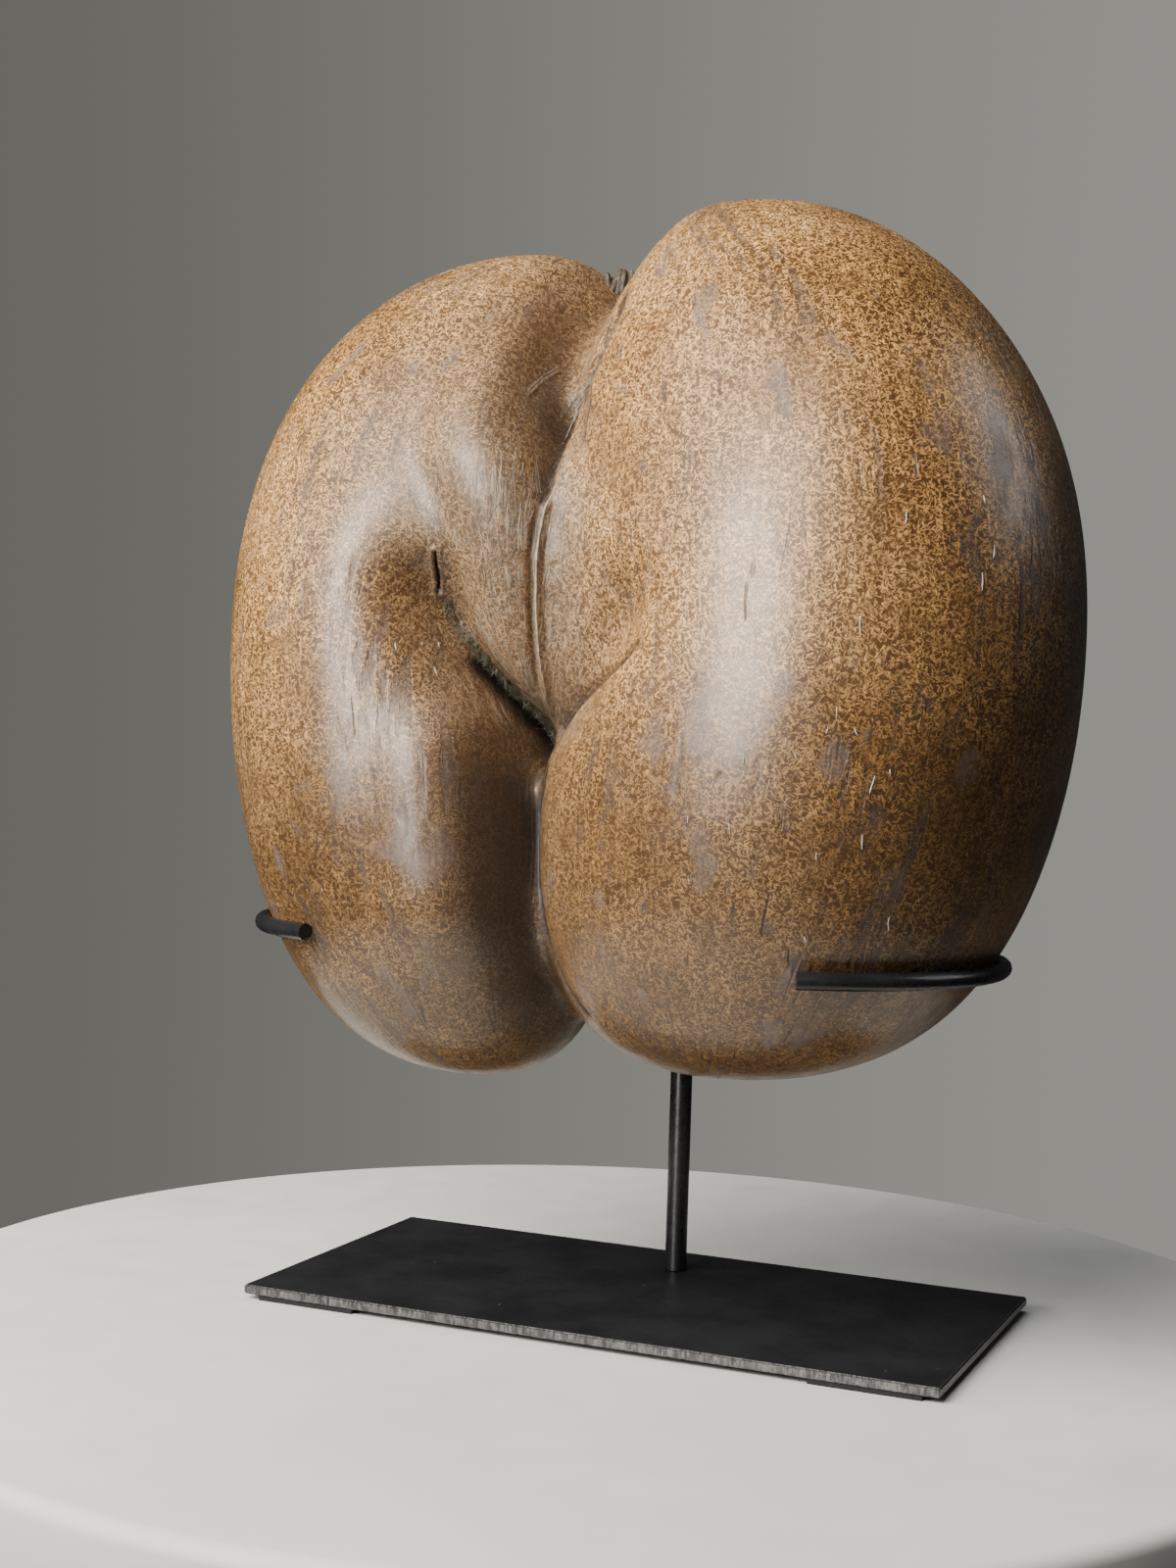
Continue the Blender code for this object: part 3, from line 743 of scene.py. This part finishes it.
def makeMoundFibres(tree, material):
    rng = random.Random(11)
    strands = []
    while len(strands) < 260:
        x = rng.gauss(-1.0, 1.6)
        z = rng.uniform(20.9, 29.0)
        if abs(x + 0.8) > 0.35 + (z - 20.3) * 0.40:
            continue
        start, normal = frontOf(tree, x, z)
        if start is None or normal.y > -0.25:
            continue
        down = Vector((-0.008 + plateMiddle.x - start.x, 0, 0.195 - start.z))
        points = combOnSkin(tree, rng, start, down, rng.uniform(0.004, 0.015), 7, 0.00004, 0.10)
        width = rng.uniform(0.5, 1.2)
        strands.append((points, [width * share for share in tapered(7)]))
    newStrands("moundFibres", strands, 0.00009, material)


def makeHilumFuzz(tree, paths, material):
    rng = random.Random(23)
    strands = []
    rim = paths["rim"]
    while len(strands) < 1100:
        share = rng.random() ** 0.8
        index = min(int(share * (len(rim) - 1)), len(rim) - 2)
        base = rim[index].lerp(rim[index + 1], rng.random())
        base = base + Vector((rng.gauss(0.0004, 0.0010), 0, rng.gauss(0.0006, 0.0010)))
        hit, normal, _, _ = tree.find_nearest(base)
        heading = Vector((0.5, -0.3, -0.8)) + normal * rng.uniform(-0.1, 0.7)
        heading += Vector((rng.gauss(0, 0.45), rng.gauss(0, 0.35), rng.gauss(0, 0.35)))
        heading.normalize()
        length = rng.uniform(0.0010, 0.0036)
        curl = Vector((rng.gauss(0, 1), rng.gauss(0, 1), rng.gauss(0, 1))).normalized()
        points = [hit - normal * 0.0003]
        for _ in range(4):
            heading = (heading + curl.cross(heading) * rng.uniform(0.2, 0.8)).normalized()
            points.append(points[-1] + heading * length / 4)
        strands.append((points, (1.0, 0.9, 0.8, 0.6, 0.4)))
    newStrands("hilumFuzz", strands, 0.00010, material)


cleftHairs = (
    ((1.35, 31.73), (0.59, 31.25), (0.02, 30.76), (-0.16, 30.23)),
    ((0.78, 30.95), (0.17, 30.57), (0.10, 29.72), (0.11, 29.19)),
    ((-0.57, 31.81), (-0.76, 31.48), (-0.88, 31.08), (-0.96, 30.62)),
    ((1.16, 31.12), (0.59, 30.40), (0.34, 29.72)),
)


def makeCleftStrands(tree, material):
    rng = random.Random(5)
    strands = []
    for spots in cleftHairs:
        for _ in range(3):
            shift = Vector((rng.gauss(0, 0.0008), 0, rng.gauss(0, 0.0008)))
            path = skinPath(tree, spots, 12)
            points = []
            for step, point in enumerate(path):
                hit, normal, _, _ = tree.find_nearest(point + shift)
                points.append(hit + normal * (0.0003 + 0.0004 * math.sin(step * 0.9 + rng.random())))
            strands.append((points, [rng.uniform(0.6, 1.1) * share for share in tapered(len(points))]))
    newStrands("cleftStrands", strands, 0.00011, material)


chipSpots = (
    (11.77, 26.91, 4.5), (13.56, 27.50, 3.0), (13.91, 26.09, 4.5), (13.67, 25.26, 6.0), (10.74, 23.87, 6.5),
    (10.15, 21.26, 4.5), (9.94, 20.64, 2.0), (10.64, 20.63, 2.5), (11.16, 19.33, 6.5), (10.79, 17.62, 5.5),
    (7.52, 19.83, 3.5), (9.02, 19.88, 2.5), (7.04, 17.77, 3.5), (9.54, 17.01, 2.5), (9.01, 14.51, 2.5),
    (11.33, 15.17, 5.5), (11.54, 19.49, 2.0), (5.80, 17.94, 2.5), (-4.29, 22.93, 3.0), (-3.74, 22.97, 1.5),
    (-3.45, 23.00, 2.0), (-3.33, 22.21, 3.5),
)


def makeChips(tree, material):
    # pale splinters lifted along the grain, most of them on the large lobe
    rng = random.Random(41)
    strands = []
    for x, z, length in chipSpots:
        start, _ = frontOf(tree, x, z)
        heading = Vector((rng.gauss(0.06, 0.12), 0, -1))
        points = combOnSkin(tree, rng, start, heading, length / 1000, 7, 0.00008, 0.07)
        strands.append((points, [1.7 * share for share in tapered(7, 0.25)]))
    while len(strands) < 95:
        x, z = rng.uniform(-11, 13.5), rng.uniform(10.5, 34)
        if abs(x + 0.8) < 2.2 or (x < 0 and rng.random() < 0.6):
            continue
        start, normal = frontOf(tree, x, z)
        if start is None or normal.y > -0.15:
            continue
        heading = Vector((rng.gauss(0, 0.16) - 0.02 * x, 0, -1))
        points = combOnSkin(tree, rng, start, heading, rng.choice((0.0009, 0.0012, 0.0018)), 5, 0.00004, 0.08)
        width = rng.uniform(0.5, 1.0)
        strands.append((points, [width * share for share in tapered(5, 0.2)]))
    newStrands("shellChips", strands, 0.00013, material)


scratchWays = (
    ((-5.71, 25.79), (-6.13, 25.32), (-6.49, 24.71), (-6.62, 24.09)),
    ((-5.31, 22.73), (-5.51, 22.48), (-5.63, 22.23)),
    ((6.05, 30.80), (6.18, 30.35), (6.26, 29.90)), ((-4.42, 33.67), (-4.42, 33.14), (-4.48, 32.51)),
    ((-3.43, 32.84), (-3.56, 32.56), (-3.73, 32.26)),
    ((8.68, 27.40), (8.68, 26.55), (8.59, 25.70), (8.47, 24.80), (8.33, 23.96)),
    ((10.61, 28.29), (10.72, 28.00), (10.63, 27.80), (10.75, 27.58), (10.61, 27.37)),
    ((-7.56, 29.96), (-7.62, 29.6)), ((-5.49, 31.49), (-5.55, 31.2)), ((-4.54, 33.53), (-4.57, 33.1)),
)


def makeScratches(tree, material):
    # dark hairline cracks, half sunk in the skin
    rng = random.Random(8)
    strands = []
    ways = list(scratchWays)
    while len(ways) < 46:
        x, z = rng.uniform(-11, 13), rng.uniform(12, 34)
        if abs(x + 0.8) > 3.2:
            lean = rng.gauss(0, 0.10) - 0.03 * x
            ways.append(((x, z), (x + lean * 0.5, z - 0.35), (x + lean, z - rng.uniform(0.5, 1.1))))
    for way in ways:
        if frontOf(tree, *way[0])[0] is None or frontOf(tree, *way[-1])[0] is None:
            continue
        points = []
        for point in skinPath(tree, way, 10):
            hit, normal, _, _ = tree.find_nearest(point + Vector((rng.gauss(0, 0.00012), 0, 0)))
            points.append(hit - normal * 0.00004)
        width = rng.uniform(0.5, 1.0)
        strands.append((points, [width * share for share in tapered(len(points), 0.2)]))
    newStrands("shellScratches", strands, 0.00014, material)


stemScar = {"middle": (-0.38, -3.60, 35.25), "lobes": 6, "spacing": 0.00165, "lobe": (0.0015, 0.0026, 0.0066)}


def makeStemScar(material):
    # the rough stub between the lobes' tops: upright wrinkled lobes in two rows
    rng = random.Random(3)
    right = Vector((0.918, 0.396, 0))
    back = Vector((-0.396, 0.918, 0))
    pieces = []
    for row in range(3):
        for index in range(stemScar["lobes"] - row % 2):
            along = (index - (stemScar["lobes"] - row % 2 - 1) / 2) * stemScar["spacing"]
            where = place(*stemScar["middle"]) + right * along + back * (row * 0.0023 - 0.0015)
            deselectAll()
            bpy.ops.mesh.primitive_uv_sphere_add(segments=14, ring_count=10, radius=1, location=where)
            lobe = bpy.context.object
            lobe.scale = [size * rng.uniform(0.85, 1.1) for size in stemScar["lobe"]]
            lobe.rotation_euler = (rng.gauss(0, 0.10), rng.gauss(0, 0.10), math.radians(23))
            lobe.location.z += rng.uniform(-0.0005, 0.0004)
            pieces.append(lobe)
    deselectAll()
    for lobe in pieces:
        lobe.select_set(True)
    bpy.context.view_layer.objects.active = pieces[0]
    bpy.ops.object.join()
    scar = bpy.context.object
    scar.name = "stemScar"
    freeze(scar)
    skin = scar.modifiers.new("skin", "REMESH")
    skin.mode = "VOXEL"
    skin.voxel_size = 0.00026
    applyModifiers(scar)
    wrinkles = np.random.default_rng(6).normal(0, 0.00009, len(scar.data.vertices))
    points = pointArray(scar.data)
    points += normalArray(scar.data) * wrinkles[:, None]
    writePoints(scar.data, points)
    soften = scar.modifiers.new("soften", "SMOOTH")
    soften.iterations = 2
    applyModifiers(scar)
    bpy.ops.object.shade_smooth()
    scar.data.materials.append(material)
    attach(scar, "root")
    print("stemScar", len(scar.data.polygons), "faces")


steel = {
    "black": (0.010, 0.010, 0.011), "blackPale": (0.017, 0.017, 0.018), "bare": (0.022, 0.022, 0.022),
    "worn": (0.16, 0.155, 0.145), "dust": (0.22, 0.21, 0.19),
}


def makeSteelMaterial(name, roughness, shine, dusty):
    material, tree, shader = newMaterial(name)
    where = objectPlace(tree)
    cloud = noiseOf(tree, where, 35, 4, 0.6)
    colour = blended(tree, between(tree, cloud, 0.3, 0.7), steel["black"], steel["blackPale"])
    if dusty:
        dots = tree.nodes.new("ShaderNodeTexVoronoi")
        dots.inputs["Scale"].default_value = 150
        dots.inputs["Randomness"].default_value = 1
        tree.links.new(where, dots.inputs["Vector"])
        rare = tree.nodes.new("ShaderNodeSeparateColor")
        tree.links.new(dots.outputs["Color"], rare.inputs["Color"])
        speck = sums(tree, "MULTIPLY", between(tree, dots.outputs["Distance"], 0.02, 0.07, 1, 0),
                     between(tree, rare.outputs["Red"], 0.80, 0.84))
        colour = blended(tree, sums(tree, "MULTIPLY", speck, 0.8), colour, steel["dust"])
    feed(tree, colour, shader.inputs["Base Color"])
    shader.inputs["Specular IOR Level"].default_value = shine
    feed(tree, between(tree, noiseOf(tree, where, 260, 4, 0.6), 0.3, 0.7, roughness - 0.05, roughness + 0.07),
         shader.inputs["Roughness"])
    feed(tree, bumpOf(tree, noiseOf(tree, where, 900, 3), 0.00006, 0.4), shader.inputs["Normal"])
    return material


def makeEdgeMaterial():
    material, tree, shader = newMaterial("shearedSteel")
    where = objectPlace(tree)
    marks = noiseOf(tree, stretched(tree, where, (1, 1, 0.2)), 900, 4, 0.7)
    feed(tree, blended(tree, between(tree, marks, 0.35, 0.7), steel["bare"], steel["worn"]),
         shader.inputs["Base Color"])
    shader.inputs["Metallic"].default_value = 0.5
    feed(tree, between(tree, marks, 0.3, 0.7, 0.38, 0.55), shader.inputs["Roughness"])
    feed(tree, bumpOf(tree, marks, 0.00012, 0.6), shader.inputs["Normal"])
    return material


def makePlate(edgeMaterial):
    plate = copyNode("base_plate", "standPlate")
    plate.data.materials.append(makeSteelMaterial("satinPlate", 0.40, 0.22, True))
    plate.data.materials.append(edgeMaterial)
    for face in plate.data.polygons:
        face.material_index = 1 if abs(face.normal.z) < 0.9 else 0
    makeActive(plate)
    bpy.ops.object.shade_smooth_by_angle(angle=math.radians(35))
    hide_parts("base_plate")
    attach(plate, "root")


def makeRod(node, name, material, cutMaterial):
    rod = copyNode(node, name)
    makeActive(rod)
    bpy.ops.object.mode_set(mode="EDIT")
    bpy.ops.mesh.select_all(action="SELECT")
    bpy.ops.mesh.tris_convert_to_quads(face_threshold=math.radians(40), shape_threshold=math.radians(60))
    bpy.ops.object.mode_set(mode="OBJECT")
    rod.data.materials.append(material)
    rod.data.materials.append(cutMaterial)
    # the cut ends in front of the lobes show bare steel
    points = pointArray(rod.data)
    ahead = points[points[:, 1] < plateMiddle.y - 0.06]
    if len(ahead):
        tip = ahead[:, 0].min() if ahead[:, 0].mean() > plateMiddle.x else ahead[:, 0].max()
        for face in rod.data.polygons:
            if abs(face.center.x - tip) < 0.0008 and abs(face.normal.x) > 0.6:
                face.material_index = 1
    makeActive(rod)
    bpy.ops.object.shade_smooth_by_angle(angle=math.radians(50))
    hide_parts(node)
    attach(rod, "root")


def makePads():
    material, tree, shader = newMaterial("blackFelt")
    where = objectPlace(tree)
    nap = noiseOf(tree, where, 1500, 4, 0.7)
    feed(tree, blended(tree, between(tree, nap, 0.35, 0.7), (0.006, 0.006, 0.006), (0.022, 0.021, 0.020)),
         shader.inputs["Base Color"])
    shader.inputs["Roughness"].default_value = 0.95
    feed(tree, bumpOf(tree, nap, 0.0003, 0.8), shader.inputs["Normal"])
    for name in ("pad_front_left", "pad_front_right", "pad_back_left", "pad_back_right"):
        nodes[name].data.materials.clear()
        nodes[name].data.materials.append(material)


print("camera and studio")
makeCamera()
makeStudio()
makeTable()
print("shell")
shell, shellPaths = makeShell()
shellTree = treeOf(shell)
print("fibres")
paleFibre = makeFibreMaterial("paleFibre", fibreLook["mound"], fibreLook["moundDark"])
seamFibre = makeFibreMaterial("seamFibre", fibreLook["seam"], fibreLook["seamDark"])
makeSeam(shellTree, shellPaths, seamFibre)
makeMoundFibres(shellTree, paleFibre)
oliveFibre = makeFibreMaterial("oliveFuzz", fibreLook["olive"], fibreLook["oliveDark"])
makeHilumFuzz(shellTree, shellPaths, oliveFibre)
makeCleftStrands(shellTree, makeFibreMaterial("cleftFibre", fibreLook["strand"], fibreLook["strandDark"]))
makeChips(shellTree, makeFibreMaterial("chipFibre", fibreLook["chip"], fibreLook["chipDark"]))
makeScratches(shellTree, makeFibreMaterial("darkCrack", fibreLook["crack"], fibreLook["crackDark"]))
makeStemScar(makeFibreMaterial("scarBark", fibreLook["scar"], fibreLook["scarDark"]))
print("stand")
edgeSteel = makeEdgeMaterial()
rodSteel = makeSteelMaterial("satinRod", 0.28, 0.40, False)
makePlate(edgeSteel)
for node, name in (("post", "standPost"), ("arm_left", "leftArm"), ("arm_right", "rightArm")):
    makeRod(node, name, rodSteel, edgeSteel)
makePads()

print("done")
